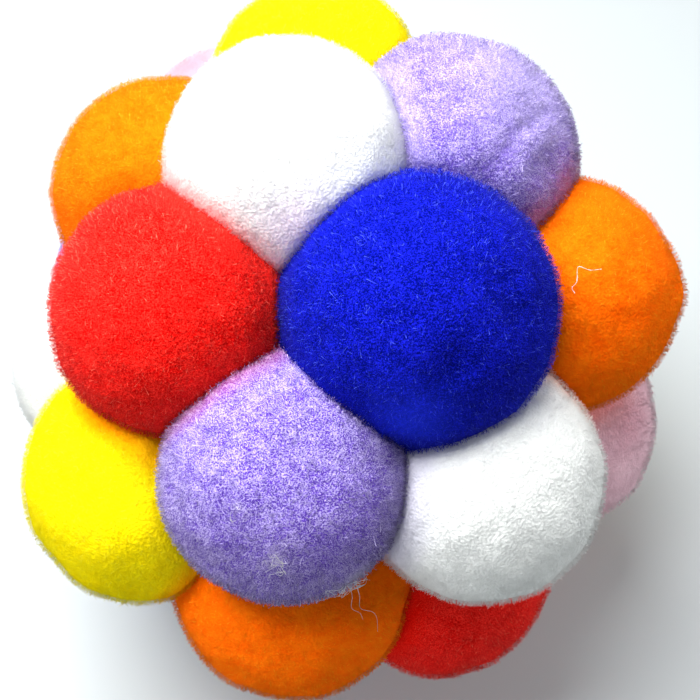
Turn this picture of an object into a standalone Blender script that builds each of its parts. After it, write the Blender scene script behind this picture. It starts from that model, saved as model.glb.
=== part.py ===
"""A ball of plush pom poms: twenty-five clipped yarn pom poms pressed and glued side by side.

Each pom pom is one solid, its clipped pile pressed flat where its neighbours touch it.
The ball stands on three of them, which have a small flat spot. Units are metres, +Z is up,
and the origin is on the surface under the middle of the ball's box.
"""

import math
from typing import NamedTuple

import bmesh
import bpy
from mathutils import Matrix, Vector, noise

MM = 0.001

# Driving sizes
MIDDLE_RADIUS = 22.0 * MM     # from the ball's middle to a pom pom's middle
GAP = 0.3 * MM                # between two pom poms that press on each other
FLAT_DEPTH = 0.5 * MM         # how far a foot's pile is pressed in where it stands
LUMP_SIZE = 6.0 * MM          # width of the soft mounds that the pile clings together in
SWELL = 0.12                  # how much a pom pom spreads on its inner side, to fill the gaps
SWELL_FROM, SWELL_TO = -0.1, 0.5
SHOULDER = 26                 # a higher number gives a sharper edge round a pressed face
CUBE_CUTS = 6                 # cuts along each edge of the cube that a pom pom starts from
EDGE_ANGLE = math.radians(40)
NEAR = 2.0 * MM               # two pom poms further apart than this have no face between them
LEAST_FACING = 0.05           # a face more than about 87 degrees off a direction isn't met there

# Colour and roughness of each dyed pile
PILES = {
    "blue": ((0.010, 0.016, 0.55), 0.90),
    "red": ((0.72, 0.014, 0.010), 0.90),
    "lavender": ((0.42, 0.31, 0.74), 0.92),
    "white": ((0.84, 0.86, 0.85), 0.94),
    "orange": ((0.92, 0.16, 0.006), 0.90),
    "yellow": ((0.92, 0.77, 0.006), 0.92),
    "pink": ((0.80, 0.42, 0.52), 0.93),
}


class Pompom(NamedTuple):
    """One pom pom's row: where it sits on the ball, in degrees, and its size, in millimetres."""

    name: str
    pile: str
    around: float  # from +X towards +Y
    up: float      # above the ball's equator
    across: float  # its diameter
    proud: float   # how much further out it sits than MIDDLE_RADIUS
    firm: float    # how far it pushes a neighbour's face in, when that one's own number is 0
    lumps: float   # height of the mounds in its pile


POMPOMS = [
    # The top and the upper front, from the top down
    Pompom("crown_white", "white", 144, 78, 19.5, 0.8, 0.4, 0.15),
    Pompom("upper_blue", "blue", -56, 61, 21.0, 0.5, 0.7, 0.15),
    Pompom("upper_lavender", "lavender", 34, 58, 20.5, -0.5, -0.1, 0.45),
    Pompom("upper_red", "red", -150, 49, 20.0, 0.0, 0.1, 0.20),
    Pompom("upper_yellow", "yellow", 97, 44, 19.5, 0.7, -0.4, 0.20),
    Pompom("shoulder_orange", "orange", 154, 38, 21.0, -1.5, -0.1, 0.30),
    Pompom("front_lavender", "lavender", -102, 32, 19.8, 0.5, 0.5, 0.20),
    Pompom("right_orange", "orange", -5, 29, 20.0, -0.2, 0.3, 0.35),
    Pompom("front_white", "white", -57, 21, 20.5, 0.0, 0.0, 0.20),
    # The belt
    Pompom("back_pink", "pink", 118, 11, 20.0, 0.5, 0.0, 0.20),
    Pompom("back_blue", "blue", 51, 13, 20.0, -1.5, 0.1, 0.25),
    Pompom("left_yellow", "yellow", -136, 9, 21.0, 0.5, -0.4, 0.30),
    Pompom("back_orange", "orange", 84, -4, 20.5, -0.5, 0.0, 0.20),
    Pompom("left_white", "white", -175, -3, 19.5, -1.0, -0.2, 0.20),
    Pompom("front_orange", "orange", -100, -7, 21.0, 0.5, 0.1, 0.30),
    Pompom("back_lavender", "lavender", 148, -13, 20.5, 1.0, 0.1, 0.30),
    Pompom("right_pink", "pink", -16, -15, 20.5, -0.5, 0.0, 0.25),
    Pompom("back_yellow", "yellow", 22, -15, 20.0, -0.5, -0.1, 0.20),
    # The underside
    Pompom("lower_red", "red", -64, -24, 21.0, 0.5, -0.1, 0.25),
    Pompom("lower_back_red", "red", 112, -31, 20.5, 0.0, 0.1, 0.25),
    Pompom("lower_blue", "blue", -154, -37, 20.5, -0.5, 0.1, 0.20),
    Pompom("lower_white", "white", 58, -38, 20.5, 0.0, 0.0, 0.20),
    # The three that it stands on
    Pompom("foot_lavender", "lavender", -107, -66, 21.0, 0.0, 0.1, 0.10),
    Pompom("foot_orange", "orange", -2, -66, 21.0, 0.0, 0.0, 0.10),
    Pompom("foot_yellow", "yellow", 133, -66, 21.0, 0.0, -0.1, 0.10),
]
FEET = [row for row in POMPOMS if row.name.startswith("foot_")]


def outward(row):
    """Unit vector from the ball's middle towards a pom pom's middle."""
    around, up = math.radians(row.around), math.radians(row.up)
    return Vector((math.cos(up) * math.cos(around), math.cos(up) * math.sin(around), math.sin(up)))


def middle(row):
    """A pom pom's middle, measured from the ball's middle."""
    return outward(row) * (MIDDLE_RADIUS + row.proud * MM)


def radius(row):
    """Half of a pom pom's diameter."""
    return row.across * MM / 2


def floor_height():
    """Height of the floor under the ball's middle, a negative number."""
    return min(middle(row).z - radius(row) for row in FEET) + FLAT_DEPTH


def pressing(row):
    """A pom pom's pressed faces, one for each neighbour: the way to it, and how far off the face is."""
    faces = []
    for other in POMPOMS:
        if other is row:
            continue
        way = middle(other) - middle(row)
        apart = way.length
        if apart > radius(row) + radius(other) + NEAR:
            continue
        # The circle that the two balls share lies on the face, unless one is firmer and pushes it on.
        off = (apart**2 + radius(row) ** 2 - radius(other) ** 2) / (2 * apart)
        off += (row.firm - other.firm) * MM
        faces.append((way.normalized(), off - GAP / 2))
    return faces


def eased(x):
    """0 below 0, 1 above 1 and smooth between."""
    x = min(1.0, max(0.0, x))
    return x * x * (3 - 2 * x)


def free_reach(row, number, direction):
    """How far the pile would reach from the pom pom's middle with nothing pressing on it."""
    inward = -direction.dot(outward(row))
    spread = 1 + SWELL * eased((inward - SWELL_FROM) / (SWELL_TO - SWELL_FROM))
    place = direction * (radius(row) / LUMP_SIZE) + Vector((7.0 * number, 3.0, 5.0))
    return radius(row) * spread + noise.noise(place) * row.lumps * MM


def reach(row, number, faces, direction):
    """How far the pile reaches from the pom pom's middle in one direction, pressed faces included."""
    lengths = [free_reach(row, number, direction)]
    for way, off in faces:
        facing = direction.dot(way)
        if facing > LEAST_FACING:
            lengths.append(off / facing)
    # A smooth least of the lengths: it never passes any of them, and rounds the edge between two.
    return sum(length**-SHOULDER for length in lengths) ** (-1 / SHOULDER)


def pressed_ball(row, number, turn):
    """Mesh of one pom pom about its own middle: a ball shaped by how far its pile reaches each way."""
    bm = bmesh.new()
    bmesh.ops.create_cube(bm, size=2.0)
    bmesh.ops.subdivide_edges(bm, edges=bm.edges[:], cuts=CUBE_CUTS, use_grid_fill=True)
    faces = pressing(row)
    for vert in bm.verts:
        # The tangent spreads the cube's points evenly over the ball.
        local = Vector([math.tan(axis * math.pi / 4) for axis in vert.co]).normalized()
        vert.co = local * reach(row, number, faces, turn @ local)
    mesh = bpy.data.meshes.new(row.name)
    bm.to_mesh(mesh)
    bm.free()
    mesh.shade_smooth()
    mesh.set_sharp_from_angle(angle=EDGE_ANGLE)
    return mesh


def press_flat(mesh, place, floor):
    """Cuts a mesh level with the floor and closes it with one flat face."""
    to_local = place.inverted()
    point = to_local @ Vector((0, 0, floor))
    up = (to_local.to_3x3() @ Vector((0, 0, 1))).normalized()
    bm = bmesh.new()
    bm.from_mesh(mesh)
    everything = bm.verts[:] + bm.edges[:] + bm.faces[:]
    cut = bmesh.ops.bisect_plane(
        bm, geom=everything, dist=1e-7, plane_co=point, plane_no=up, clear_inner=True
    )
    rim = [item for item in cut["geom_cut"] if isinstance(item, bmesh.types.BMEdge)]
    bmesh.ops.contextual_create(bm, geom=rim)
    for edge in rim:
        edge.smooth = False
    bmesh.ops.recalc_face_normals(bm, faces=bm.faces[:])
    bm.to_mesh(mesh)
    bm.free()


def pile_material(row):
    """Plain dyed pile: one colour, dull, not metal."""
    colour, roughness = PILES[row.pile]
    material = bpy.data.materials.new(row.name + "_pile")
    material.use_nodes = True
    shader = material.node_tree.nodes["Principled BSDF"]
    shader.inputs["Base Color"].default_value = (*colour, 1)
    shader.inputs["Roughness"].default_value = roughness
    shader.inputs["Metallic"].default_value = 0.0
    material.diffuse_color = (*colour, 1)
    return material


def add_pompom(row, number, ball, collection, floor):
    """Makes one pom pom's object, its own +Z pointing out of the ball, and returns its points."""
    turn = outward(row).to_track_quat("Z", "Y")
    place = Matrix.LocRotScale(middle(row), turn, None)
    mesh = pressed_ball(row, number, turn.to_matrix())
    if row in FEET:
        press_flat(mesh, place, floor)
    mesh.materials.append(pile_material(row))
    pompom = bpy.data.objects.new(row.name, mesh)
    collection.objects.link(pompom)
    pompom.parent = ball
    pompom.rotation_mode = "QUATERNION"
    pompom.location = middle(row)
    pompom.rotation_quaternion = turn
    return [place @ vert.co for vert in mesh.vertices]


def main():
    """Builds the ball with its origin under the middle of its box."""
    for old in list(bpy.data.objects):
        bpy.data.objects.remove(old)
    collection = bpy.data.collections.new("pompom_ball")
    bpy.context.scene.collection.children.link(collection)
    ball = bpy.data.objects.new("ball_middle", None)
    collection.objects.link(ball)

    floor = floor_height()
    points = []
    for number, row in enumerate(POMPOMS, start=1):
        points += add_pompom(row, number, ball, collection, floor)
    across = [[point[axis] for point in points] for axis in (0, 1)]
    ball.location = [-(min(side) + max(side)) / 2 for side in across] + [-floor]


main()
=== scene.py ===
"""A ball of plush pom poms: each one a skin under thousands of clipped fibres.

Sizes in the tables are in millimetres, and the meshes are in metres.
"""
import logging
import math
from dataclasses import dataclass, field
from enum import Enum

import bpy
import numpy as np
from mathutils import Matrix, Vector, noise


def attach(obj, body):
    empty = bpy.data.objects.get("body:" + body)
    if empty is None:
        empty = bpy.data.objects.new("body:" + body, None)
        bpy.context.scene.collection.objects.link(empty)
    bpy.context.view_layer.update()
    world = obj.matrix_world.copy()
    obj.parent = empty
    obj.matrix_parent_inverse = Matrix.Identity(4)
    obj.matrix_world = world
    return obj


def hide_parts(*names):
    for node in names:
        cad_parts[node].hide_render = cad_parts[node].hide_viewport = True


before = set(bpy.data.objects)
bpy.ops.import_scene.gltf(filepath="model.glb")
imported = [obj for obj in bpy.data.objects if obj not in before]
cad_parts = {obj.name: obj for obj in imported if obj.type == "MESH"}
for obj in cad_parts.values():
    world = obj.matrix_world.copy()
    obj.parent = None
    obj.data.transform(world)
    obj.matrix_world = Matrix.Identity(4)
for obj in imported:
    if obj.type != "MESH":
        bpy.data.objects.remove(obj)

MM = 0.001
LOG = logging.getLogger("pompom_ball")

Colour = tuple[float, float, float]


class Dye(Enum):
    """The colours that the pile is dyed."""

    WHITE = "white"
    BLUE = "blue"
    LAVENDER = "lavender"
    RED = "red"
    ORANGE = "orange"
    YELLOW = "yellow"
    PINK = "pink"


class Layer(Enum):
    """The attributes that a pom pom's mesh carries for its material."""

    ALONG = "along"      # height in the pile, about half on the skin and 1 at a clipped end; lower gets more painted shade
    STRAND = "strand"    # one random number for each fibre
    PAINTED_LIGHT_AND_PALE_FIBRE = "tint"        # painted light, shade and reflections, and pale fibre, with how much of it the pile takes on
    FIBRE = "fibre"      # 0 on the skin, 1 on the fibres
    OUTWARD = "outward"  # the way out of the pile, which the light falls on it by


# Finishes


class NodeGroup:
    """A shader node group with named sockets, built once."""

    name = "group"
    inputs: tuple[tuple[str, str, object], ...] = ()
    outputs: tuple[tuple[str, str], ...] = ()

    def __init__(self) -> None:
        """Makes the group and its sockets, and lets the subclass fill it."""
        self.tree = bpy.data.node_groups.new(self.name, "ShaderNodeTree")
        for title, kind, value in self.inputs:
            socket = self.tree.interface.new_socket(title, in_out="INPUT", socket_type=kind)
            socket.default_value = value
        for title, kind in self.outputs:
            self.tree.interface.new_socket(title, in_out="OUTPUT", socket_type=kind)
        self.source = self.tree.nodes.new("NodeGroupInput")
        self.target = self.tree.nodes.new("NodeGroupOutput")
        self.fill()

    def fill(self) -> None:
        """Makes the nodes between the sockets."""

    def node(self, kind: str, **settings: object) -> bpy.types.Node:
        """Adds a node to the group.

        Args:
            kind: The node's type name.
            settings: Properties to set on it.

        Returns:
            The new node.
        """
        made = self.tree.nodes.new(kind)
        for key, value in settings.items():
            setattr(made, key, value)
        return made

    def join(self, start: bpy.types.NodeSocket, end: bpy.types.NodeSocket) -> None:
        """Links two sockets."""
        self.tree.links.new(start, end)

    def math(self, operation: str, first: object, second: object) -> bpy.types.NodeSocket:
        """Adds a Math node.

        Args:
            operation: The node's operation.
            first: A socket or a number.
            second: A socket or a number.

        Returns:
            The node's output.
        """
        made = self.node("ShaderNodeMath", operation=operation)
        for socket, value in zip(made.inputs, (first, second)):
            if isinstance(value, bpy.types.NodeSocket):
                self.join(value, socket)
            else:
                socket.default_value = value
        return made.outputs[0]

    def mix(self, factor: object, first: object, second: object) -> bpy.types.NodeSocket:
        """Adds a Mix node for colours.

        Args:
            factor: A socket or a number, 0 for the first colour.
            first: A colour socket.
            second: A colour socket.

        Returns:
            The mixed colour's socket.
        """
        made = self.node("ShaderNodeMix", data_type="RGBA", clamp_factor=True)
        for socket, value in ((made.inputs[0], factor), (made.inputs[6], first), (made.inputs[7], second)):
            if isinstance(value, bpy.types.NodeSocket):
                self.join(value, socket)
            else:
                socket.default_value = value
        return made.outputs[2]

    def clouds(self, size: float, detail: float = 2.0) -> bpy.types.NodeSocket:
        """Adds a noise fixed to the object.

        Args:
            size: Width of a cloud in millimetres.
            detail: How much finer noise it holds.

        Returns:
            The noise's value socket.
        """
        place = self.node("ShaderNodeTexCoord")
        made = self.node("ShaderNodeTexNoise")
        made.inputs["Scale"].default_value = 1 / (size * MM)
        made.inputs["Detail"].default_value = detail
        self.join(place.outputs["Object"], made.inputs["Vector"])
        return made.outputs["Fac"]

    def layer(self, which: Layer) -> bpy.types.NodeSocket:
        """The socket that reads one of the mesh's attributes."""
        return self.node("ShaderNodeAttribute", attribute_name=which.value).outputs["Fac"]

    def ramp(self, value: bpy.types.NodeSocket, start: float, stop: float) -> bpy.types.NodeSocket:
        """Adds a smooth step from 0 to 1.

        Args:
            value: The socket to read.
            start: The value that gives 0.
            stop: The value that gives 1.

        Returns:
            The step's socket.
        """
        made = self.node("ShaderNodeMapRange", interpolation_type="SMOOTHSTEP")
        made.inputs["From Min"].default_value = start
        made.inputs["From Max"].default_value = stop
        self.join(value, made.inputs["Value"])
        return made.outputs["Result"]


class PileTone(NodeGroup):
    """Colour of clipped pile: painted shade deep in it, a painted glint on a few fibres, and painted light or
    pale fibre in places.
    """

    name = "pile_tone"
    inputs = (
        ("Tip", "NodeSocketColor", (0.8, 0.8, 0.8, 1.0)),
        ("Root", "NodeSocketColor", (0.2, 0.2, 0.2, 1.0)),
        ("Glint", "NodeSocketColor", (0.9, 0.9, 0.9, 1.0)),
        ("Strand Contrast", "NodeSocketFloat", 0.4),
        ("Grain Contrast", "NodeSocketFloat", 1.5),
        ("Blotches", "NodeSocketFloat", 1.0),
    )
    outputs = (("Color", "NodeSocketColor"),)
    FULLNESS = 0.78    # share of the tip's colour at a fibre's clipped end, before grain and blotches
    GRAIN_SIZE = 0.10  # width of the clouds that make the fine tangle
    BLOTCH_SIZE = 1.2  # width of the blotches
    PALE_FROM = 0.72   # fibres with a higher random number than this get a painted glint

    def swing(self, value: bpy.types.NodeSocket, amount: bpy.types.NodeSocket) -> bpy.types.NodeSocket:
        """Makes a value of 0 to 1 swing round 0.

        Args:
            value: The value's socket.
            amount: The socket that says how far it swings.

        Returns:
            The swinging value's socket.
        """
        return self.math("MULTIPLY", self.math("SUBTRACT", value, 0.5), amount)

    def fill(self) -> None:
        """Mixes the root's painted shade and the tip by height, strand, grain and blotch, and adds the
        painted glints and the painted light and pale fibre of the mesh.
        """
        out = self.source.outputs
        strand, along = self.layer(Layer.STRAND), self.layer(Layer.ALONG)
        uneven = self.swing(strand, out["Strand Contrast"])
        grain = self.swing(self.clouds(self.GRAIN_SIZE, 0.0), out["Grain Contrast"])
        blotch = self.swing(self.clouds(self.BLOTCH_SIZE), out["Blotches"])
        level = self.math("ADD", self.math("MULTIPLY", along, self.FULLNESS), uneven)
        level = self.math("ADD", level, self.math("ADD", grain, blotch))
        # Deeper in the pile the colour goes to the root's: painted shade between the fibres.
        pile = self.mix(level, out["Root"], out["Tip"])
        # A few fibres at random are paler at their tips: a painted glint.
        pale = self.math("MULTIPLY", self.ramp(strand, self.PALE_FROM, 1.0), along)
        pile = self.mix(pale, pile, out["Glint"])
        # The mesh's painted light, shade and reflections, and its pale stray or matted fibre.
        tint = self.node("ShaderNodeAttribute", attribute_name=Layer.PAINTED_LIGHT_AND_PALE_FIBRE.value).outputs
        self.join(self.mix(tint["Alpha"], pile, tint["Color"]), self.target.inputs["Color"])


class PileNormal(NodeGroup):
    """The way that the pile faces: the tangle on the skin, and straight out on the fibres."""

    name = "pile_normal"
    inputs = (("Depth", "NodeSocketFloat", 0.3),)
    outputs = (("Normal", "NodeSocketVector"),)
    COARSE_SIZE, COARSE_SHARE = 0.6, 0.6  # width of the coarse tangle's clouds, and its share of the height
    FINE_SIZE, FINE_SHARE = 0.2, 0.4      # the same for the fine tangle

    def fill(self) -> None:
        """Bumps the skin with a coarse and a fine tangle and leaves the fibres as they are."""
        outward = self.node("ShaderNodeAttribute", attribute_name=Layer.OUTWARD.value).outputs["Vector"]
        turned = self.node("ShaderNodeVectorTransform", vector_type="NORMAL")
        turned.convert_from, turned.convert_to = "OBJECT", "WORLD"
        self.join(outward, turned.inputs[0])
        coarse = self.math("MULTIPLY", self.clouds(self.COARSE_SIZE, 1.0), self.COARSE_SHARE)
        fine = self.math("MULTIPLY", self.clouds(self.FINE_SIZE, 0.0), self.FINE_SHARE)
        height = self.math("ADD", coarse, fine)
        bump = self.node("ShaderNodeBump")
        bump.inputs["Distance"].default_value = MM
        self.join(height, bump.inputs["Height"])
        self.join(self.source.outputs["Depth"], bump.inputs["Strength"])
        self.join(turned.outputs[0], bump.inputs["Normal"])
        either = self.node("ShaderNodeMix", data_type="VECTOR")
        self.join(self.layer(Layer.FIBRE), either.inputs[0])
        self.join(bump.outputs["Normal"], either.inputs[4])
        self.join(turned.outputs[0], either.inputs[5])
        self.join(either.outputs[1], self.target.inputs["Normal"])


@dataclass(frozen=True)
class PileFinish:
    """How one dyed pile looks.

    Attributes:
        tip: Colour of the clipped ends.
        root: Colour down between the fibres: painted shade.
        glint: Colour of the palest fibres: a painted glint.
        strands: How much one fibre differs from the next.
        grain: How much the fine tangle shows.
        sheen: How much the fuzz lights up at a slant.
        frost: How white that light is.
        blotches: How much the pile's tone varies over a millimetre.
        ruffle: How unevenly its fibres catch the light.
        fine: Width of its fibres, 1 for the usual width.
        clump: How much its fibres cling together, 1 for the usual way.
        roughness: Roughness of the fibres.
    """

    tip: Colour
    root: Colour
    glint: Colour
    strands: float
    grain: float
    sheen: float = 0.25
    frost: float = 0.5
    blotches: float = 1.0
    ruffle: float = 0.35
    fine: float = 1.0
    clump: float = 1.0
    roughness: float = 0.85

    def material(self, dye: Dye, tone: PileTone, facing: PileNormal) -> bpy.types.Material:
        """Makes the pile's material.

        Args:
            dye: The dye, for the name.
            tone: The shared colour group.
            facing: The shared normal group.

        Returns:
            The new material.
        """
        made = bpy.data.materials.new(f"{dye.value}_clipped_pile")
        made.use_nodes = True
        tree = made.node_tree
        shader = tree.nodes["Principled BSDF"]
        colour = tree.nodes.new("ShaderNodeGroup")
        colour.node_tree = tone.tree
        for title, value in (("Tip", self.tip), ("Root", self.root), ("Glint", self.glint)):
            colour.inputs[title].default_value = (*value, 1)
        colour.inputs["Strand Contrast"].default_value = self.strands
        colour.inputs["Grain Contrast"].default_value = self.grain
        colour.inputs["Blotches"].default_value = self.blotches
        tree.links.new(colour.outputs["Color"], shader.inputs["Base Color"])
        normal = tree.nodes.new("ShaderNodeGroup")
        normal.node_tree = facing.tree
        tree.links.new(normal.outputs["Normal"], shader.inputs["Normal"])
        shader.inputs["Roughness"].default_value = self.roughness
        shader.inputs["Specular IOR Level"].default_value = 0.0
        shader.inputs["Sheen Weight"].default_value = self.sheen
        shader.inputs["Sheen Roughness"].default_value = 0.5
        fuzz = [self.frost + (1 - self.frost) * part for part in self.tip]
        shader.inputs["Sheen Tint"].default_value = (*fuzz, 1)
        return made


# Each root colour is painted shade deep in the pile, and each glint colour a painted glint.
FINISHES = {
    Dye.WHITE: PileFinish(
        tip=(0.85, 0.87, 0.84), root=(0.76, 0.77, 0.76), glint=(0.95, 0.95, 0.94),
        strands=0.4, grain=1.0, ruffle=0.08, fine=0.7, clump=0.2,
    ),
    Dye.BLUE: PileFinish(
        tip=(0.008, 0.013, 0.56), root=(0.0006, 0.003, 0.15), glint=(0.09, 0.14, 0.90),
        strands=2.3, grain=3.2, sheen=0.03, fine=0.75,
    ),
    Dye.LAVENDER: PileFinish(
        tip=(0.51, 0.43, 0.78), root=(0.10, 0.038, 0.40), glint=(0.62, 0.55, 0.86),
        strands=1.4, grain=2.8, sheen=0.12, frost=0.6, blotches=1.3,
    ),
    Dye.RED: PileFinish(
        tip=(0.98, 0.032, 0.021), root=(0.66, 0.001, 0.001), glint=(1.0, 0.17, 0.11),
        strands=1.5, grain=3.0, sheen=0.05, fine=0.85,
    ),
    Dye.ORANGE: PileFinish(
        tip=(0.99, 0.22, 0.004), root=(0.98, 0.11, 0.001), glint=(1.0, 0.37, 0.02),
        strands=0.4, grain=0.9, sheen=0.05, frost=0.1, ruffle=0.14, fine=0.8, clump=0.5,
    ),
    Dye.YELLOW: PileFinish(
        tip=(0.98, 0.85, 0.007), root=(0.92, 0.70, 0.001), glint=(1.0, 0.93, 0.06),
        strands=0.3, grain=0.7, sheen=0.05, frost=0.0, ruffle=0.06, fine=0.7, clump=0.2,
    ),
    Dye.PINK: PileFinish(
        tip=(0.86, 0.56, 0.64), root=(0.75, 0.46, 0.54), glint=(0.95, 0.74, 0.80),
        strands=0.4, grain=0.9, ruffle=0.12, fine=0.8, clump=0.35,
    ),
}
PALE_FIBRE = (0.93, 0.90, 0.92)  # stray hairs and matted pile


# Fields over the pile


class Lattice:
    """Repeatable random numbers at the points of a cubic lattice."""

    PRIMES = (73856093, 19349663, 83492791)  # these spread three whole numbers over one
    SEED_STEP, SALT_STEP = 2654435, 97531    # and these keep seeds and salts apart
    SCRAMBLE = (2246822519, 3266489917)      # multipliers that stir the bits
    WORD = 0xFFFFFFFF                        # 32 bits
    MARGIN = 0.15                            # a tuft's middle keeps this share of the cell off its edges

    def __init__(self, cell: float, seed: int) -> None:
        """Keeps the cell's width in metres and the seed."""
        self.cell = cell
        self.seed = seed

    def number(self, index: np.ndarray, salt: int) -> np.ndarray:
        """Random numbers for lattice points.

        Args:
            index: Whole numbers, three for each point.
            salt: Chooses one of many independent sets.

        Returns:
            A number from 0 to 1 for each point.
        """
        spread = index * self.PRIMES
        mixed = spread[:, 0] ^ spread[:, 1] ^ spread[:, 2]
        mixed = (mixed ^ (self.seed * self.SEED_STEP + salt * self.SALT_STEP)) & self.WORD
        mixed = (mixed ^ (mixed >> 15)) * self.SCRAMBLE[0] & self.WORD
        mixed = (mixed ^ (mixed >> 13)) * self.SCRAMBLE[1] & self.WORD
        return (mixed ^ (mixed >> 16)) / self.WORD

    def tuft(self, points: np.ndarray) -> np.ndarray:
        """The middle of the tuft that each point belongs to.

        Args:
            points: Places in metres.

        Returns:
            A place in each point's own cell, the same for all points of the cell.
        """
        index = np.floor(points / self.cell).astype(np.int64)
        shift = np.stack([self.number(index, salt) for salt in (1, 2, 3)], 1)
        return (index + self.MARGIN + (1 - 2 * self.MARGIN) * shift) * self.cell

    def smooth(self, points: np.ndarray, salt: int = 0) -> np.ndarray:
        """Smooth noise.

        Args:
            points: Places in metres.
            salt: Chooses one of many independent noises.

        Returns:
            A number from -1 to 1 for each point.
        """
        place = points / self.cell
        index = np.floor(place).astype(np.int64)
        part = place - index
        part = part * part * (3 - 2 * part)
        total = np.zeros(len(points))
        for corner in range(8):
            step = np.array([corner & 1, corner >> 1 & 1, corner >> 2])
            weight = np.prod(np.where(step, part, 1 - part), 1)
            total += weight * self.number(index + step, salt)
        return total * 2 - 1


def outward_normals(points: np.ndarray, corners: np.ndarray) -> np.ndarray:
    """Smooth normals of a surface.

    Args:
        points: Places in metres.
        corners: Point numbers of each triangle.

    Returns:
        A unit vector for each point.
    """
    tri = points[corners]
    facing = np.cross(tri[:, 1] - tri[:, 0], tri[:, 2] - tri[:, 0])
    total = np.zeros_like(points)
    for corner in corners.T:
        np.add.at(total, corner, facing)
    return unit(total)


def eased(x: np.ndarray) -> np.ndarray:
    """0 below 0, 1 above 1 and smooth between."""
    x = np.clip(x, 0, 1)
    return x * x * (3 - 2 * x)


def unit(vectors: np.ndarray) -> np.ndarray:
    """Vectors at length 1."""
    return vectors / np.linalg.norm(vectors, axis=-1, keepdims=True)


def pointing(around: float, up: float) -> np.ndarray:
    """Unit vector from degrees round from +X and degrees above level."""
    around, up = math.radians(around), math.radians(up)
    return np.array([math.cos(up) * math.cos(around), math.cos(up) * math.sin(around), math.sin(up)])


def fading(facing: np.ndarray, radius: float, width: float) -> np.ndarray:
    """How much of a soft-edged spot each direction is in.

    Args:
        facing: Cosine of the angle from each direction to the spot's middle.
        radius: Radius of the ball that the spot is on, in metres.
        width: The spot's width in millimetres.

    Returns:
        1 in the spot's middle and 0 away from it.
    """
    turn = np.arccos(np.clip(facing, -1, 1)) * radius
    return np.exp(-((turn / (width * MM / 2)) ** 2))


# The pom poms


@dataclass
class Grid:
    """An even grid of points over a ball, six square faces of it.

    Attributes:
        cells: Squares along each edge of a face.
        ways: Unit vector of each point.
        corners: Point numbers of each triangle.
        maps: Place of each triangle's corners on a flat sheet, 0 to 1 each way.
    """

    cells: int = 24
    ways: np.ndarray = field(init=False)
    corners: np.ndarray = field(init=False)
    maps: np.ndarray = field(init=False)

    FACES = 6
    COLUMNS, ROWS = 3, 2  # the flat sheet has a square for each face
    HALF_FACE = 0.47      # half of a face's width in its square, so that there is a margin round it
    DECIMALS = 6          # two points that agree to this many are one

    def __post_init__(self) -> None:
        """Lays the points and triangles."""
        side = np.linspace(-1, 1, self.cells + 1)
        across, along = (a.ravel() for a in np.meshgrid(side, side, indexing="ij"))
        spread_across, spread_along = np.tan(across * math.pi / 4), np.tan(along * math.pi / 4)
        ones = np.ones_like(across)
        sheets = [
            (ones, spread_across, spread_along),
            (-ones, spread_along, spread_across),
            (spread_along, ones, spread_across),
            (spread_across, -ones, spread_along),
            (spread_across, spread_along, ones),
            (spread_along, spread_across, -ones),
        ]
        points = unit(np.concatenate([np.stack(sheet, 1) for sheet in sheets]))
        number = np.arange((self.cells + 1) ** 2).reshape(self.cells + 1, -1)
        near, far = number[:-1], number[1:]
        a, b, c, d = (part.ravel() for part in (near[:, :-1], far[:, :-1], far[:, 1:], near[:, 1:]))
        face = np.concatenate([np.stack([a, b, c], 1), np.stack([a, c, d], 1)])
        corners = np.concatenate([face + k * len(across) for k in range(self.FACES)])
        flat = np.stack([across, along], 1) * self.HALF_FACE + 0.5
        offsets = np.array([[k % self.COLUMNS, k // self.COLUMNS] for k in range(self.FACES)])
        flats = np.concatenate([(flat + offset) / (self.COLUMNS, self.ROWS) for offset in offsets])
        self.maps = flats[corners]
        # Points on the faces' shared edges are made one.
        keys = np.round(points, self.DECIMALS)
        _, first, shared = np.unique(keys, axis=0, return_index=True, return_inverse=True)
        self.ways = points[first]
        self.corners = shared.reshape(-1)[corners]


@dataclass(frozen=True)
class Dent:
    """A line where the pile is pushed in, and parted if it is narrow.

    Attributes:
        line: Points along it, each in degrees round from +X and above level, seen from the pom pom's middle.
        width: Width of the dent.
        depth: How deep it goes, below 0 for a bulge.
    """

    line: tuple[tuple[float, float], ...]
    width: float
    depth: float

    STOPS = 9  # spots along each stretch of the line

    def shape(self, ways: np.ndarray, radius: float) -> np.ndarray:
        """How deep in the dent each direction is.

        Args:
            ways: Unit vectors from the pom pom's middle.
            radius: The pom pom's, in metres.

        Returns:
            1 on the dent's line and 0 away from it.
        """
        ends = [pointing(*spot) for spot in self.line]
        parts = np.linspace(0, 1, self.STOPS)
        stops = [start + (stop - start) * part for start, stop in zip(ends, ends[1:]) for part in parts]
        return fading((ways @ unit(np.array(stops)).T).max(1), radius, self.width)


@dataclass(frozen=True)
class Patch:
    """A patch of another tone: matted and pale, or painted light, shade or reflection.

    Attributes:
        around: Degrees round from +X, seen from the pom pom's middle.
        up: Degrees above level, the same way.
        width: Width of the patch.
        strength: How much of its colour the pile takes on.
        colour: Its colour.
    """

    around: float
    up: float
    width: float
    strength: float
    colour: Colour = PALE_FIBRE

    def shape(self, ways: np.ndarray, radius: float) -> np.ndarray:
        """How much of the patch's colour the pile takes on.

        Args:
            ways: Unit vectors from the pom pom's middle.
            radius: The pom pom's, in metres.

        Returns:
            The strength in the patch's middle, and 0 away from it.
        """
        return self.strength * fading(ways @ pointing(self.around, self.up), radius, self.width)


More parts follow.
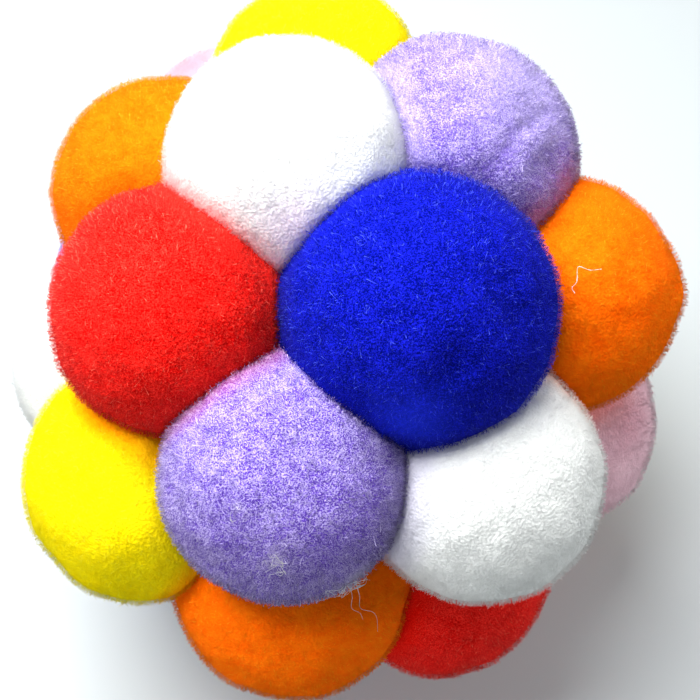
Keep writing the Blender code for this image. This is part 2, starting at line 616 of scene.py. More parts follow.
@dataclass(frozen=True)
class Stray:
    """A pale stray hair that lies on the pile.

    Attributes:
        route: Points along it: degrees round, degrees above level, and millimetres over the pile.
        thickness: Its thickness.
    """

    route: tuple[tuple[float, float, float], ...]
    thickness: float

    SIDES = 3  # of the tube that it is
    END = 0.4  # thickness of its far end, 1 for the thickness of the near one

    def tube(self, radius: float, steps: int = 6) -> tuple[np.ndarray, np.ndarray]:
        """Makes the hair as a three-sided tube.

        Args:
            radius: The pom pom's, in metres.
            steps: Segments between two points of the route.

        Returns:
            Its points, from the pom pom's middle, and the point numbers of its triangles.
        """
        knots = np.array([pointing(around, up) * (radius + lift * MM) for around, up, lift in self.route])
        knots = np.concatenate([2 * knots[:1] - knots[1:2], knots, 2 * knots[-1:] - knots[-2:-1]])
        path = []
        # A smooth curve through the knots, from b to c each time.
        for a, b, c, d in zip(knots, knots[1:], knots[2:], knots[3:]):
            square, cube = 2 * a - 5 * b + 4 * c - d, 3 * b - a - 3 * c + d
            for t in np.arange(steps) / steps:
                path.append(0.5 * (2 * b + (c - a) * t + square * t**2 + cube * t**3))
        path = np.array(path + [knots[-2]])
        along = unit(np.gradient(path, axis=0))
        side = unit(np.cross(along, unit(path)))
        rise = np.cross(side, along)
        taper = np.linspace(1, self.END, len(path))[:, None] * self.thickness * MM / 2
        turns = [math.tau * k / self.SIDES for k in range(self.SIDES)]
        spokes = [side * math.cos(turn) + rise * math.sin(turn) for turn in turns]
        rings = np.stack([path + taper * spoke for spoke in spokes], 1)
        corners = []
        for ring in range(0, (len(path) - 1) * self.SIDES, self.SIDES):
            for k in range(self.SIDES):
                a, b = ring + k, ring + (k + 1) % self.SIDES
                corners += [(a, b, b + self.SIDES), (a, b + self.SIDES, a + self.SIDES)]
        return rings.reshape(-1, 3), np.array(corners)


TANGLE_KNOTS = 5                  # points along each hair of a tangle
TANGLE_LIFTS = (0.15, 0.55)       # their least and most height over the pile
TANGLE_THICKNESS = (0.035, 0.06)  # of its thinnest and thickest hair


def tangle(around: float, up: float, width: float, hairs: int, seed: int) -> tuple[Stray, ...]:
    """A matted knot of short pale hairs.

    Args:
        around: Degrees round from +X of its middle.
        up: Degrees above level.
        width: Its width, in degrees.
        hairs: How many hairs it has.
        seed: Places the hairs.

    Returns:
        The hairs.
    """
    rng = np.random.default_rng(seed)
    made = []
    for _ in range(hairs):
        # Each hair starts near the middle and wanders from there.
        spot = rng.normal(0, width / 3, 2)
        steps = np.cumsum(rng.normal(0, width / 4, (TANGLE_KNOTS, 2)), axis=0)
        lifts = rng.uniform(*TANGLE_LIFTS, TANGLE_KNOTS)
        route = [(around + spot[0] + a, up + spot[1] + b, lift) for (a, b), lift in zip(steps, lifts)]
        made.append(Stray(tuple(route), rng.uniform(*TANGLE_THICKNESS)))
    return tuple(made)


@dataclass
class Pompom:
    """One pom pom: its place on the ball, its sizes and its pile.

    Attributes:
        name: Name of the solid that it stands for.
        dye: Its colour.
        around: Degrees round the ball from +X.
        up: Degrees above the ball's equator.
        across: Diameter.
        proud: How much further out than the others it sits.
        firm: How far it pushes a neighbour's face in.
        lumps: Height of the soft mounds.
        dents: Places where it is pushed in.
        patches: Places where it has another tone: painted light, shade or reflection, or matted pale fibre.
        strays: Stray hairs.
        faces: Its pressed faces: the way to each, how far off it is, and the neighbour's dye.
    """

    name: str
    dye: Dye
    around: float
    up: float
    across: float
    proud: float
    firm: float
    lumps: float
    dents: tuple[Dent, ...] = ()
    patches: tuple[Patch, ...] = ()
    strays: tuple[Stray, ...] = ()
    faces: list[tuple[np.ndarray, float, Dye]] = field(default_factory=list)

    MIDDLE_RADIUS = 22.0 * MM       # from the ball's middle to a pom pom's middle
    LUMP_SIZE = 6.0 * MM            # width of the soft mounds
    SWELL = 0.12                    # how much it spreads on its inner side, to fill the gaps
    SWELL_FROM, SWELL_TO = -0.1, 0.5  # how far inward the spread begins, and where it is full
    BARE_FROM, BARE_BY = 0.5, 0.75  # its innermost side grows no pile
    OPEN_FROM, OPEN_OVER = 0.92, 0.07  # share of the free reach from which the pile opens, and over how much
    SHOULDER = 80                   # a higher number gives a sharper edge round a pressed face
    NEAR = 2.0 * MM                 # two pom poms further apart than this don't meet
    TUCK = 0.25 * MM                # how far the skin goes past a pressed face, so that no gap shows
    LEAST_FACING = 0.05             # a face nearly side on to a direction isn't met there
    FAR = 9.0                       # further off than any face, in metres
    RIPPLE = 0.18 * MM              # height of the ripples
    RIPPLE_SIZE = 2.4 * MM          # and their width
    CREASE = 4.0                    # wider dents bend the pile without parting it
    PAINTED_REFLECTION_FROM = 0.72                # a painted reflection of a neighbour's colour starts at this share of the way to its face
    PAINTED_REFLECTION_SHARE = 0.50                     # and comes to this much of the pile's colour at the face
    LEAST = 1e-6                    # keeps a share of nothing from being divided by 0

    @property
    def outward(self) -> np.ndarray:
        """The way out of the ball through this pom pom."""
        return pointing(self.around, self.up)

    @property
    def middle(self) -> np.ndarray:
        """The pom pom's middle, measured from the ball's middle."""
        return self.outward * (self.MIDDLE_RADIUS + self.proud * MM)

    @property
    def radius(self) -> float:
        """Half of the diameter, in metres."""
        return self.across * MM / 2

    def meet(self, others: "list[Pompom]") -> None:
        """Finds the faces that the neighbours press.

        Args:
            others: All the pom poms of the ball.
        """
        self.faces = []
        for other in others:
            way = other.middle - self.middle
            apart = float(np.linalg.norm(way))
            if other is self or apart > self.radius + other.radius + self.NEAR:
                continue
            off = (apart**2 + self.radius**2 - other.radius**2) / (2 * apart)
            off += (self.firm - other.firm) * MM
            self.faces.append((way / apart, off + self.TUCK, other.dye))

    def parting(self, ways: np.ndarray) -> np.ndarray:
        """How far the pile is parted each way, 1 for all the way."""
        creases = [dent for dent in self.dents if dent.width < self.CREASE]
        return sum((dent.shape(ways, self.radius) for dent in creases), np.zeros(len(ways)))

    def reach(self, ways: np.ndarray, number: int, depth: float) -> tuple[np.ndarray, np.ndarray]:
        """How far the skin reaches from the pom pom's middle.

        Args:
            ways: Unit vectors.
            number: The pom pom's number, which places its mounds.
            depth: Depth of the pile over it, in metres.

        Returns:
            The reach each way in metres, and how open it is: 1 where nothing presses on it.
        """
        inward = -(ways @ self.outward)
        spread = 1 + self.SWELL * eased((inward - self.SWELL_FROM) / (self.SWELL_TO - self.SWELL_FROM))
        # The mounds are those of the solid.
        shift = Vector((7.0 * number, 3.0, 5.0))
        scale = self.radius / self.LUMP_SIZE
        mounds = np.array([noise.noise(Vector(way) * scale + shift) for way in ways])
        ripple = Lattice(self.RIPPLE_SIZE, number).smooth(ways * self.radius) * self.RIPPLE
        ripple += Lattice(self.RIPPLE_SIZE / 2, number).smooth(ways * self.radius, 1) * self.RIPPLE / 3
        free = self.radius * spread + mounds * self.lumps * MM + ripple - depth
        for dent in self.dents:
            free -= dent.depth * MM * dent.shape(ways, self.radius)
        total = free**-self.SHOULDER
        pressed = np.full(len(ways), self.FAR)
        for way, off, _ in self.faces:
            facing = ways @ way
            met = off / np.maximum(facing, self.LEAST_FACING)
            length = np.where(facing > self.LEAST_FACING, met, self.FAR)
            total += length**-self.SHOULDER
            pressed = np.minimum(pressed, length)
        openness = eased((pressed / free - self.OPEN_FROM) / self.OPEN_OVER)
        openness *= eased((self.BARE_BY - inward) / (self.BARE_BY - self.BARE_FROM))
        # A smooth least of the lengths rounds the edges between the faces.
        return total ** (-1 / self.SHOULDER), openness

    def painted_light_and_matting(self, ways: np.ndarray) -> np.ndarray:
        """Painted reflections that bright neighbours throw on the pile, and the colours of its patches.

        Args:
            ways: Unit vectors from the pom pom's middle.

        Returns:
            Red, green, blue and how much of that colour the pile takes on, each way.
        """
        own = np.array(FINISHES[self.dye].tip)
        colour = np.full((len(ways), 3), self.LEAST) * own
        total = np.full(len(ways), self.LEAST)
        for way, off, dye in self.faces:
            tip = np.array(FINISHES[dye].tip)
            near = eased(((ways @ way) * self.radius / off - self.PAINTED_REFLECTION_FROM) / (1 - self.PAINTED_REFLECTION_FROM))
            # A red, orange, yellow or white neighbour throws a stronger painted reflection than a blue one.
            near *= tip[:2].max()
            colour += near[:, None] * own * tip / tip.max()
            total += near
        colour /= total[:, None]
        share = self.PAINTED_REFLECTION_SHARE * np.minimum(total, 1)
        # The patches: painted light, painted shade, painted reflections and matted pale fibre.
        for patch in self.patches:
            amount = patch.shape(ways, self.radius)
            part = amount / np.maximum(amount + share, self.LEAST)
            colour += (np.array(patch.colour) - colour) * part[:, None]
            share = np.maximum(share, amount)
        return np.column_stack([colour, share])


@dataclass
class Pile:
    """How the fibres stand on every pom pom.

    Attributes:
        fibres: How many each pom pom has.
        depth: From the pile's outline down to the skin.
        width: Usual width of a fibre where it is widest.
        widths: Least and most width of a fibre, as shares of the usual one.
        root_width: Width of a pointed fibre's root, the same way.
        tuft: Width of the tufts that the fibres cling together in.
        cling: How far a fibre leans to the middle of its tuft, 1 for all the way.
        clings: Least and most cling of a fibre, as shares of the usual one.
        frizz: Usual lean of a fibre, in degrees.
        most_lean: Most lean of a fibre, in radians.
        uneven: How much one fibre's height differs from the next.
        least_height: Height of the shortest fibre.
        waves: Width and height of the small waves in the pile, a pair for each kind.
        blunt: Share of fibres that show a wide clipped end.
        flyaway: Share of fibres that stand out further.
        flyaway_height: How far those stand out.
        flyaway_power: A higher number leaves fewer of them far out.
        flyaway_cling: How far they lean to the middle of their tuft.
        flyaway_width: Their width, 1 for that of the other fibres.
        flyaway_tone: How far up their random numbers go, so that fewer of them get the painted glint.
    """

    fibres: int = 32500
    depth: float = 0.34
    width: float = 0.050
    widths: tuple[float, float] = (0.6, 1.3)
    root_width: float = 0.6
    tuft: float = 0.30
    cling: float = 0.4
    clings: tuple[float, float] = (0.4, 1.2)
    frizz: float = 34.0
    most_lean: float = 1.1
    uneven: float = 0.08
    least_height: float = 0.12
    waves: tuple[tuple[float, float], ...] = ((0.5, 0.05), (1.6, 0.08))
    blunt: float = 0.55
    flyaway: float = 0.10
    flyaway_height: float = 0.36
    flyaway_power: float = 1.5
    flyaway_cling: float = 0.1
    flyaway_width: float = 0.6
    flyaway_tone: float = 0.85

    def rise(self, roots: np.ndarray, number: int) -> np.ndarray:
        """How much the small waves raise the pile.

        Args:
            roots: The fibres' roots, in metres.
            number: The pom pom's number, which places the waves.

        Returns:
            Millimetres for each root.
        """
        total = np.zeros(len(roots))
        for salt, (width, height) in enumerate(self.waves, start=1):
            total += Lattice(width * MM, number).smooth(roots, salt) * height
        return total


@dataclass
class Skin:
    """The surface that one pom pom's fibres grow on.

    Attributes:
        points: Its points in metres.
        normals: The way out at each point.
        openness: 1 where nothing presses on the pile, 0 deep between two pom poms.
        along: Height in the pile that each point shows, lower where the pile is parted.
    """

    points: np.ndarray
    normals: np.ndarray
    openness: np.ndarray
    along: np.ndarray


@dataclass
class Roots:
    """Where the fibres of one pom pom stand.

    Attributes:
        points: The roots, in metres.
        outward: The way out of the pile at each root.
        openness: 1 where nothing presses on the pile, 0 deep between two pom poms.
        along: Height in the pile that the skin shows there.
        places: Each root's place on the flat sheet.
    """

    points: np.ndarray
    outward: np.ndarray
    openness: np.ndarray
    along: np.ndarray
    places: np.ndarray


@dataclass
class Fibres:
    """The fibres of one pom pom, a thin triangle each.

    Attributes:
        points: Three corners for each fibre.
        outward: The way out of the pile at each fibre.
        along: Height in the pile of each corner, 1 at a clipped end.
        strand: A random number for each fibre.
        tint: Painted light, shade or reflection, or pale fibre, for each fibre, and how much of it.
        places: Each root's place on the flat sheet.
    """

    points: np.ndarray
    outward: np.ndarray
    along: np.ndarray
    strand: np.ndarray
    tint: np.ndarray
    places: np.ndarray

    def joined(self, others: "Fibres") -> "Fibres":
        """These fibres and others as one lot."""
        pairs = zip(vars(self).values(), vars(others).values())
        return Fibres(*(np.concatenate(pair) for pair in pairs))


@dataclass
class PompomBuilder:
    """Builds the meshes of the pom poms and dresses them.

    Attributes:
        ball_middle: The ball's middle in the part's frame, in millimetres.
        pile: How the fibres stand.
        grid: The points that a skin is made of.
        materials: The finished piles.
    """

    ball_middle: tuple[float, float, float]
    pile: Pile
    grid: Grid
    materials: dict[Dye, bpy.types.Material]

    SEED = 1000                  # the pom pom's number is added to it
    SKIN_CLEARANCE = 0.1 * MM    # least height of the skin over the floor
    FIBRE_CLEARANCE = 0.05 * MM  # and of the fibres
    OWN_WAY = 1.001              # just over 1, so that no normal has length 0
    SKIN_TONE = 0.5              # height in the pile whose tone the skin has
    ROOT_TONE = 0.55             # and a fibre's root
    PARTED = 0.3                 # how much lower both are where the pile is parted, for more painted shade there
    OPEN = 0.5                   # no flyaways where the pile is less open than this
    STRAY_SHARE = 0.85           # how much of a stray hair's colour is its own
    SKIN_SHEET = 0.82            # the skin has this much of the flat sheet's height
    STRIP_FROM, STRIP_HEIGHT = 0.84, 0.15  # and the fibres have the strip above it
    BLADE = 0.0012               # half of a fibre's width on the flat sheet

    @property
    def middle(self) -> np.ndarray:
        """The ball's middle in the part's frame, in metres."""
        return np.array(self.ball_middle) * MM

    def skin(self, pompom: Pompom, number: int) -> Skin:
        """Shapes the surface that the pile grows on.

        Args:
            pompom: The pom pom.
            number: Its number.

        Returns:
            The skin.
        """
        length, openness = pompom.reach(self.grid.ways, number, self.pile.depth * MM)
        points = pompom.middle + self.middle + self.grid.ways * length[:, None]
        points[:, 2] = np.maximum(points[:, 2], self.SKIN_CLEARANCE)
        # At a crease the free pile still faces out of the pom pom, not halfway to its neighbour.
        normals = outward_normals(points, self.grid.corners) * openness[:, None] ** 2
        normals = unit(normals + self.grid.ways * (self.OWN_WAY - openness[:, None] ** 2))
        along = self.SKIN_TONE - self.PARTED * pompom.parting(self.grid.ways)
        return Skin(points, normals, openness, along)

    def choose_roots(self, skin: Skin, rng: np.random.Generator) -> Roots:
        """Spreads the fibres' roots evenly over the open part of the skin.

        Args:
            skin: The skin.
            rng: Makes the random numbers.

        Returns:
            The roots.
        """
        corners = self.grid.corners
        tri = skin.points[corners]
        area = np.linalg.norm(np.cross(tri[:, 1] - tri[:, 0], tri[:, 2] - tri[:, 0]), axis=1)
        weight = np.cumsum(area * skin.openness[corners].mean(1))
        pick = np.searchsorted(weight / weight[-1], rng.random(self.pile.fibres))
        share = rng.random((self.pile.fibres, 2))
        share = np.where(share.sum(1, keepdims=True) > 1, 1 - share, share)
        share = np.column_stack([1 - share.sum(1), share])
        return Roots(
            points=(tri[pick] * share[:, :, None]).sum(1),
            outward=unit((skin.normals[corners][pick] * share[:, :, None]).sum(1)),
            openness=(skin.openness[corners][pick] * share).sum(1),
            along=(skin.along[corners][pick] * share).sum(1),
            places=(self.grid.maps[pick] * share[:, :, None]).sum(1),
        )

    def raise_ends(
        self, roots: Roots, flying: np.ndarray, clump: float, number: int, rng: np.random.Generator
    ) -> np.ndarray:
        """Finds the outer end of each fibre.

        Args:
            roots: The roots.
            flying: Which of the fibres are flyaways.
            clump: How much the fibres cling together, 1 for the usual way.
            number: The pom pom's number, which places its tufts.
            rng: Makes the random numbers.

        Returns:
            A place in metres for each fibre.
        """
        pile, outward = self.pile, roots.outward
        rise = pile.rise(roots.points, number) * clump
        height = (pile.depth + rise + rng.normal(0, pile.uneven, pile.fibres)) * MM
        height += flying * rng.random(pile.fibres) ** pile.flyaway_power * pile.flyaway_height * MM
        height = np.maximum(height, pile.least_height * MM)
        side = unit(np.cross(outward, rng.normal(size=outward.shape)))
        lean = np.radians(pile.frizz) * np.abs(rng.normal(size=pile.fibres))
        lean = np.minimum(lean, pile.most_lean)
        ends = roots.points + (outward + side * np.tan(lean)[:, None]) * height[:, None]
        gather = Lattice(pile.tuft * MM, number).tuft(ends) - ends
        gather -= outward * (gather * outward).sum(1, keepdims=True)
        cling = pile.cling * clump * rng.uniform(*pile.clings, pile.fibres)
        return ends + gather * np.where(flying, pile.flyaway_cling, cling)[:, None]

    def cut(
        self, roots: Roots, ends: np.ndarray, flying: np.ndarray, fine: float, rng: np.random.Generator
    ) -> tuple[np.ndarray, np.ndarray]:
        """Gives each fibre its width: most at its clipped end, or most at its root.

        Args:
            roots: The roots.
            ends: The outer ends, in metres.
            flying: Which of the fibres are flyaways.
            fine: Width of the fibres, 1 for the usual width.
            rng: Makes the random numbers.

        Returns:
            Three corners for each fibre, and the height in the pile of each corner.
        """
        pile = self.pile
        across = unit(np.cross(ends - roots.points, rng.normal(size=ends.shape)))
        width = rng.uniform(*pile.widths, pile.fibres) * np.where(flying, pile.flyaway_width, 1.0)
        half = across * (width * fine * pile.width * MM / 2)[:, None]
        foot = half * pile.root_width
        blunt = (rng.random(pile.fibres) < pile.blunt) & ~flying
        points = np.stack([roots.points - foot, roots.points + foot, ends], 1)
        points[blunt] = np.stack([ends - half, roots.points, ends + half], 1)[blunt]
        points[:, :, 2] = np.maximum(points[:, :, 2], self.FIBRE_CLEARANCE)
        low = self.ROOT_TONE
        along = np.where(blunt[:, None], [1.0, low, 1.0], [low, low, 1.0])
        return points, along - (self.SKIN_TONE - roots.along)[:, None]

    def sow(self, pompom: Pompom, number: int, skin: Skin) -> Fibres:
        """Sows the fibres on the skin.

        Args:
            pompom: The pom pom.
            number: Its number, which is part of the seed.
            skin: Its skin.

        Returns:
            The fibres.
        """
        pile, finish = self.pile, FINISHES[pompom.dye]
        rng = np.random.default_rng(self.SEED + number)
        roots = self.choose_roots(skin, rng)
        flying = (rng.random(pile.fibres) < pile.flyaway) & (roots.openness > self.OPEN)
        ends = self.raise_ends(roots, flying, finish.clump, number, rng)
        points, along = self.cut(roots, ends, flying, finish.fine, rng)
        outward = roots.outward
        outward = unit(outward + rng.normal(size=outward.shape) * finish.ruffle / math.sqrt(3))
        tint = pompom.painted_light_and_matting(unit(roots.points - pompom.middle - self.middle))
        strand = rng.random(pile.fibres) * np.where(flying, pile.flyaway_tone, 1.0)
        return Fibres(points, outward, along, strand, tint, roots.places)

    def lay_stray(self, stray: Stray, pompom: Pompom) -> Fibres:
        """Lays a stray hair over a pom pom.

        Args:
            stray: The hair.
            pompom: The pom pom.

        Returns:
            The hair's triangles, as fibres.
        """
        points, corners = stray.tube(pompom.radius)
        points += pompom.middle + self.middle
        count = len(corners)
        return Fibres(
            points=points[corners],
            outward=np.repeat([unit(points.mean(0) - pompom.middle - self.middle)], count, axis=0),
            along=np.ones((count, 3)),
            strand=np.ones(count),
            tint=np.repeat([(*PALE_FIBRE, self.STRAY_SHARE)], count, axis=0),
            places=np.full((count, 2), 0.5),
        )

    def piece(self, pompom: Pompom, number: int) -> bpy.types.Object:
        """Builds one pom pom and puts it in its solid's place.

        Args:
            pompom: The pom pom.
            number: Its number.

        Returns:
            The new object.
        """
        skin = self.skin(pompom, number)
        fibres = self.sow(pompom, number, skin)
        for stray in pompom.strays:
            fibres = fibres.joined(self.lay_stray(stray, pompom))
        bare, count = len(skin.points), len(fibres.points)
        points = np.concatenate([skin.points, fibres.points.reshape(-1, 3)])
        blades = np.arange(3 * count).reshape(-1, 3) + bare
        corners = np.concatenate([self.grid.corners, blades])
        blade = np.array([[-1, -1], [1, -1], [0, 1]]) * self.BLADE
        spots = fibres.places[:, None, :] * (1, self.STRIP_HEIGHT) + blade + (0, self.STRIP_FROM)
        maps = np.concatenate([self.grid.maps * (1, self.SKIN_SHEET), spots])
        # The skin's strand number is the middle one, so that it is no paler or deeper than usual.
        layers = {
            Layer.ALONG: np.concatenate([skin.along, fibres.along.ravel()]),
            Layer.STRAND: np.concatenate([np.full(bare, 0.5), np.repeat(fibres.strand, 3)]),
            Layer.PAINTED_LIGHT_AND_PALE_FIBRE: np.concatenate([pompom.painted_light_and_matting(self.grid.ways), np.repeat(fibres.tint, 3, axis=0)]),
            Layer.FIBRE: np.concatenate([np.zeros(bare), np.ones(3 * count)]),
            Layer.OUTWARD: np.concatenate([skin.normals, np.repeat(fibres.outward, 3, axis=0)]),
        }
        mesh = make_mesh(f"{pompom.name}_pile", points, corners, maps, layers)
        mesh.materials.append(self.materials[pompom.dye])
        piece = bpy.data.objects.new(f"{pompom.name}_pile", mesh)
        bpy.context.scene.collection.objects.link(piece)
        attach(piece, "root")
        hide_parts(pompom.name)
        return piece


def make_mesh(
    name: str, points: np.ndarray, corners: np.ndarray, maps: np.ndarray, layers: dict[Layer, np.ndarray]
) -> bpy.types.Mesh:
    """Makes a mesh of triangles from arrays.

    Args:
        name: The mesh's name.
        points: Places in metres.
        corners: Point numbers of each triangle.
        maps: Place of each triangle's corners on the flat sheet.
        layers: A number or a vector a point for each attribute.

    Returns:
        The new mesh.
    """
    mesh = bpy.data.meshes.new(name)
    mesh.vertices.add(len(points))
    mesh.vertices.foreach_set("co", points.astype(np.float32).ravel())
    mesh.loops.add(corners.size)
    mesh.loops.foreach_set("vertex_index", corners.astype(np.int32).ravel())
    mesh.polygons.add(len(corners))
    mesh.polygons.foreach_set("loop_start", np.arange(0, corners.size, 3, dtype=np.int32))
    mesh.polygons.foreach_set("use_smooth", np.ones(len(corners), bool))
    mesh.update(calc_edges=True)
    mesh.normals_split_custom_set_from_vertices(layers[Layer.OUTWARD])
    sheet = mesh.uv_layers.new(name="OFBake")
    sheet.uv.foreach_set("vector", maps.astype(np.float32).ravel())
    for which, values in layers.items():
        width = values.shape[1] if values.ndim == 2 else 1
        kind, key = {1: ("FLOAT", "value"), 3: ("FLOAT_VECTOR", "vector"), 4: ("FLOAT_COLOR", "color")}[width]
        made = mesh.attributes.new(which.value, kind, "POINT")
        made.data.foreach_set(key, values.astype(np.float32).ravel())
    return mesh


BLUE_DENTS = (
    Dent(((-83, 29), (-75, 36)), 2.6, 0.28),
    Dent(((-36, 41), (-30, 52)), 3.0, 0.25),
)
LAVENDER_DENTS = (
    Dent(((-53, 56), (-29, 54), (-4, 45)), 0.9, 0.26),
    Dent(((-60, 52), (-75, 47)), 1.8, 0.22),
    Dent(((-41, 37), (-25, 32)), 2.0, 0.22),
)
ORANGE_DENTS = (
    Dent(((-66, 44), (-50, 36)), 2.0, 0.16),
    Dent(((-92, 36), (-80, 30)), 1.6, 0.14),
    Dent(((38, 40), (20, 30)), 7.0, 0.26),
    Dent(((-10, 14), (-12, 20)), 5.0, -0.10),
)
# Painted shade for the front lavender pom pom's lower half
PAINTED_VIOLET_SHADE = (0.17, 0.10, 0.53)
# Painted reflection of the orange neighbour on the upper lavender pom pom's lower side
PAINTED_REFLECTION_RED = (0.62, 0.09, 0.20)
# Painted reflection of the red and blue neighbours on the crown's white pile
CROWN_PAINTED_REFLECTION = (Patch(-83, 20, 6.0, 0.5, (0.86, 0.62, 0.80)),)
# Painted light on the upper blue pom pom's lower side, next to the white one
UPPER_BLUE_PAINTED_LIGHT = (Patch(-95, 8, 6.0, 0.5, (0.02, 0.045, 0.95)),)
UPPER_LAVENDER_PAINTED_LIGHT = (
    # Painted light, paler on the top
    Patch(0, 58, 17.0, 0.40, (0.47, 0.39, 0.74)),
    Patch(-8, 54, 7.0, 0.35, (0.74, 0.68, 0.93)),
    Patch(35, 70, 7.0, 0.15, (0.68, 0.63, 0.90)),
    # Painted reflections of the orange neighbour
    Patch(-28, 12, 5.0, 0.65, PAINTED_REFLECTION_RED),
    Patch(-52, 12, 4.6, 0.55, PAINTED_REFLECTION_RED),
)
FRONT_LAVENDER_MATTING_AND_PAINTED_SHADE = (
    # Painted shade on its lower half
    Patch(-104, 38, 5.0, 0.20, PAINTED_VIOLET_SHADE),
    Patch(-84, 50, 4.0, 0.20, PAINTED_VIOLET_SHADE),
    Patch(-66, 28, 5.0, 0.30, PAINTED_VIOLET_SHADE),
    Patch(-44, 36, 4.5, 0.25, PAINTED_VIOLET_SHADE),
    # Matted spots
    Patch(-116, 48, 0.8, 0.35),
    Patch(-91, 27, 1.2, 0.35),
    Patch(-58, -6, 2.6, 0.4),
)
# Painted shade: a deeper pink on the back pink pom pom's top, where the light falls strongest
BACK_PINK_PAINTED_SHADE = (Patch(140, 58, 8.0, 0.9, (0.75, 0.30, 0.38)),)
# Painted reflection of the orange neighbour on the right pink pom pom
RIGHT_PINK_PAINTED_REFLECTION = (Patch(-32, 47, 6.5, 0.30, (0.72, 0.20, 0.30)),)
FRONT_LAVENDER_HAIRS = (
    # Two that hang from it, and three tangles
    Stray(
        (
            (-57, -12, 0.2), (-58, -14, 1.0), (-60, -14, 1.8),
            (-57, -13, 2.5), (-57, -13, 3.1), (-59, -13, 3.9),
        ),
        thickness=0.05,
    ),
    Stray(
        ((-60, -12, 0.2), (-61, -13, 0.8), (-63, -14, 1.5), (-61, -14, 2.1), (-61, -15, 2.6)),
        thickness=0.045,
    ),
    *tangle(-91, 27, 7, 12, 1),
    *tangle(-60, -8, 10, 16, 2),
    *tangle(-116, 48, 4, 3, 3),
)
RIGHT_ORANGE_HAIRS = (
    Stray(
        ((-100, 57, 0.3), (-103, 59, 0.4), (-100, 62, 0.5), (-101, 68, 0.5), (-88, 67, 0.5), (-74, 67, 0.3)),
        thickness=0.05,
    ),
)

POMPOMS = [
    # The top and the upper front, from the top down
    Pompom("crown_white", Dye.WHITE, 144, 78, 19.5, 0.8, 0.4, 0.15, patches=CROWN_PAINTED_REFLECTION),
    Pompom("upper_blue", Dye.BLUE, -56, 61, 21.0, 0.5, 0.7, 0.15, BLUE_DENTS, UPPER_BLUE_PAINTED_LIGHT),
    Pompom(
        "upper_lavender", Dye.LAVENDER, 34, 58, 20.5, -0.5, -0.1, 0.45,
        dents=LAVENDER_DENTS, patches=UPPER_LAVENDER_PAINTED_LIGHT,
    ),
    Pompom("upper_red", Dye.RED, -150, 49, 20.0, 0.0, 0.1, 0.20),
    Pompom("upper_yellow", Dye.YELLOW, 97, 44, 19.5, 0.7, -0.4, 0.20),
    Pompom("shoulder_orange", Dye.ORANGE, 154, 38, 21.0, -1.5, -0.1, 0.30),
    Pompom(
        "front_lavender", Dye.LAVENDER, -102, 32, 19.8, 0.5, 0.5, 0.20,
        patches=FRONT_LAVENDER_MATTING_AND_PAINTED_SHADE, strays=FRONT_LAVENDER_HAIRS,
    ),
    Pompom(
        "right_orange", Dye.ORANGE, -5, 29, 20.0, -0.2, 0.3, 0.35,
        dents=ORANGE_DENTS, strays=RIGHT_ORANGE_HAIRS,
    ),
    Pompom("front_white", Dye.WHITE, -57, 21, 20.5, 0.0, 0.0, 0.20),
    # The belt
    Pompom("back_pink", Dye.PINK, 118, 11, 20.0, 0.5, 0.0, 0.20, patches=BACK_PINK_PAINTED_SHADE),
    Pompom("back_blue", Dye.BLUE, 51, 13, 20.0, -1.5, 0.1, 0.25),
    Pompom("left_yellow", Dye.YELLOW, -136, 9, 21.0, 0.5, -0.4, 0.30),
    Pompom("back_orange", Dye.ORANGE, 84, -4, 20.5, -0.5, 0.0, 0.20),
    Pompom("left_white", Dye.WHITE, -175, -3, 19.5, -1.0, -0.2, 0.20),
    Pompom("front_orange", Dye.ORANGE, -100, -7, 21.0, 0.5, 0.1, 0.30),
    Pompom("back_lavender", Dye.LAVENDER, 148, -13, 20.5, 1.0, 0.1, 0.30),
    Pompom("right_pink", Dye.PINK, -16, -15, 20.5, -0.5, 0.0, 0.25, patches=RIGHT_PINK_PAINTED_REFLECTION),
    Pompom("back_yellow", Dye.YELLOW, 22, -15, 20.0, -0.5, -0.1, 0.20),
    # The underside
    Pompom("lower_red", Dye.RED, -64, -24, 21.0, 0.5, -0.1, 0.25),
    Pompom("lower_back_red", Dye.RED, 112, -31, 20.5, 0.0, 0.1, 0.25),
    Pompom("lower_blue", Dye.BLUE, -154, -37, 20.5, -0.5, 0.1, 0.20),
    Pompom("lower_white", Dye.WHITE, 58, -38, 20.5, 0.0, 0.0, 0.20),
    # The three that it stands on
    Pompom("foot_lavender", Dye.LAVENDER, -107, -66, 21.0, 0.0, 0.1, 0.10),
    Pompom("foot_orange", Dye.ORANGE, -2, -66, 21.0, 0.0, 0.0, 0.10),
    Pompom("foot_yellow", Dye.YELLOW, 133, -66, 21.0, 0.0, -0.1, 0.10),
]


@dataclass
class PompomBall:
    """The whole ball.

    Attributes:
        pompoms: The pom poms, in the order that places their mounds.
        middle: The ball's middle in the part's frame, in millimetres.
    """

    pompoms: list[Pompom]
    middle: tuple[float, float, float] = (0.25, 0.46, 30.10)

    def build(self) -> list[bpy.types.Object]:
        """Builds and dresses every pom pom.

        Returns:
            The pieces.
        """
        tone, facing = PileTone(), PileNormal()
        materials = {dye: finish.material(dye, tone, facing) for dye, finish in FINISHES.items()}
        builder = PompomBuilder(self.middle, Pile(), Grid(), materials)
        pieces = []
        for number, pompom in enumerate(self.pompoms, start=1):
            pompom.meet(self.pompoms)
            piece = builder.piece(pompom, number)
            LOG.info("%s: %d triangles", piece.name, len(piece.data.polygons))
            pieces.append(piece)
        return pieces


# The studio


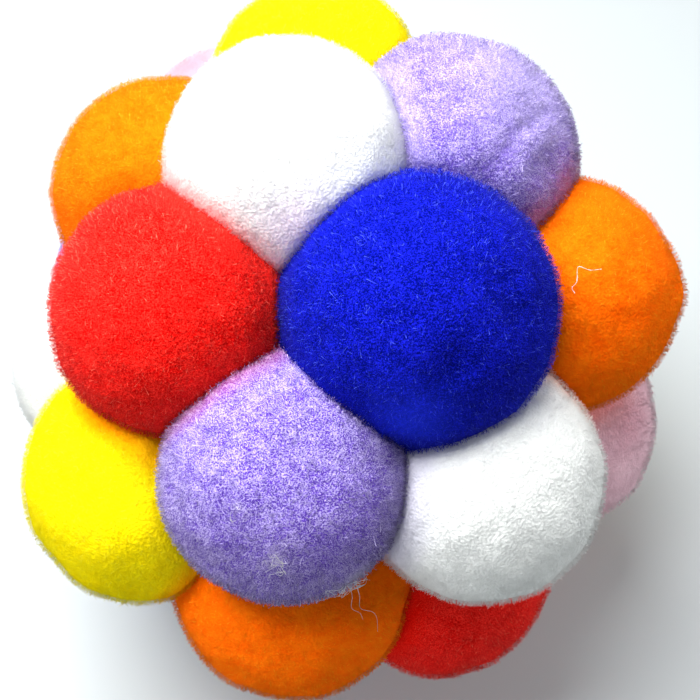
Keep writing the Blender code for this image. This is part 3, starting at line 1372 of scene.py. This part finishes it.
@dataclass(frozen=True)
class Softbox:
    """A round soft light that points at the ball.

    Attributes:
        name: Its name.
        way: The way to it from the ball's middle.
        distance: How far off it is, in metres.
        size: Its width, in metres.
        power: Its power, in watts.
    """

    name: str
    way: tuple[float, float, float]
    distance: float
    size: float
    power: float

    def hang(self, aim: Vector) -> None:
        """Puts the light in the scene.

        Args:
            aim: The point that it faces, in metres.
        """
        data = bpy.data.lights.new(self.name, "AREA")
        data.shape = "DISK"
        data.size = self.size
        data.energy = self.power
        lamp = bpy.data.objects.new(self.name, data)
        way = Vector(self.way).normalized()
        lamp.location = aim + way * self.distance
        lamp.rotation_mode = "QUATERNION"
        lamp.rotation_quaternion = way.to_track_quat("Z", "Y")
        bpy.context.scene.collection.objects.link(lamp)


@dataclass
class Studio:
    """A plain pale floor, soft lights and the camera.

    Attributes:
        aim: The ball's middle, in millimetres.
        camera_from_middle: The camera's place from the ball's middle, in millimetres.
        tilt: How far the camera is tipped up from straight down, in degrees.
        lens: Focal length for a 36 mm frame.
        lights: The soft lights.
        sky: Brightness of the light from all round.
        sky_colour: Its colour.
        floor_half: Half of the floor's width, in metres.
        floor_colour: The floor's colour.
    """

    aim: tuple[float, float, float]
    camera_from_middle: tuple[float, float, float] = (0.93, -52.75, 89.48)
    tilt: float = 30.0
    lens: float = 56.57
    lights: tuple[Softbox, ...] = (
        Softbox("window", (-0.30, 0.18, 0.93), 0.20, 0.16, 1.02),
        Softbox("far_wall", (0.92, 0.24, 0.22), 0.5, 0.35, 1.4),
        Softbox("near_wall", (-0.60, -0.72, 0.30), 0.5, 0.40, 0.6),
    )
    sky: float = 0.30
    sky_colour: Colour = (0.90, 0.96, 1.0)
    floor_half: float = 3.0
    floor_colour: Colour = (0.505, 0.545, 0.555)

    def build(self) -> None:
        """Sets up floor, lights and camera."""
        self.lay_floor()
        for softbox in self.lights:
            softbox.hang(Vector(self.aim) * MM)
        self.set_sky()
        self.set_camera()
        bpy.context.scene.view_settings.view_transform = "Standard"

    def lay_floor(self) -> None:
        """Lays a wide pale floor under the ball."""
        half = self.floor_half
        corners = [(-half, -half, 0), (half, -half, 0), (half, half, 0), (-half, half, 0)]
        mesh = bpy.data.meshes.new("floor")
        mesh.from_pydata(corners, [], [(0, 1, 2, 3)])
        material = bpy.data.materials.new("pale_floor")
        material.use_nodes = True
        shader = material.node_tree.nodes["Principled BSDF"]
        shader.inputs["Base Color"].default_value = (*self.floor_colour, 1)
        shader.inputs["Roughness"].default_value = 0.7
        mesh.materials.append(material)
        floor = bpy.data.objects.new("floor", mesh)
        bpy.context.scene.collection.objects.link(floor)

    def set_sky(self) -> None:
        """Sets the light from all round."""
        world = bpy.data.worlds.new("sky")
        world.use_nodes = True
        background = world.node_tree.nodes["Background"]
        background.inputs["Color"].default_value = (*self.sky_colour, 1)
        background.inputs["Strength"].default_value = self.sky
        bpy.context.scene.world = world

    def set_camera(self) -> None:
        """Puts the camera above the front, looking down at the ball."""
        data = bpy.data.cameras.new("camera")
        data.lens = self.lens
        data.sensor_width = 36
        data.clip_start = 0.005
        camera = bpy.data.objects.new("camera", data)
        camera.location = (Vector(self.aim) + Vector(self.camera_from_middle)) * MM
        camera.rotation_euler = (math.radians(self.tilt), 0, 0)
        bpy.context.scene.collection.objects.link(camera)
        bpy.context.scene.camera = camera


def main() -> None:
    """Builds the ball in the studio and reports its pieces and its size."""
    logging.basicConfig(level=logging.INFO, format="%(message)s")
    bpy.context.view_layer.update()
    ball = PompomBall(POMPOMS)
    Studio(ball.middle).build()
    pieces = ball.build()
    LOG.info("%d pieces, %d triangles", len(pieces), sum(len(piece.data.polygons) for piece in pieces))
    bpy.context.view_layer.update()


if __name__ == "__main__":
    main()
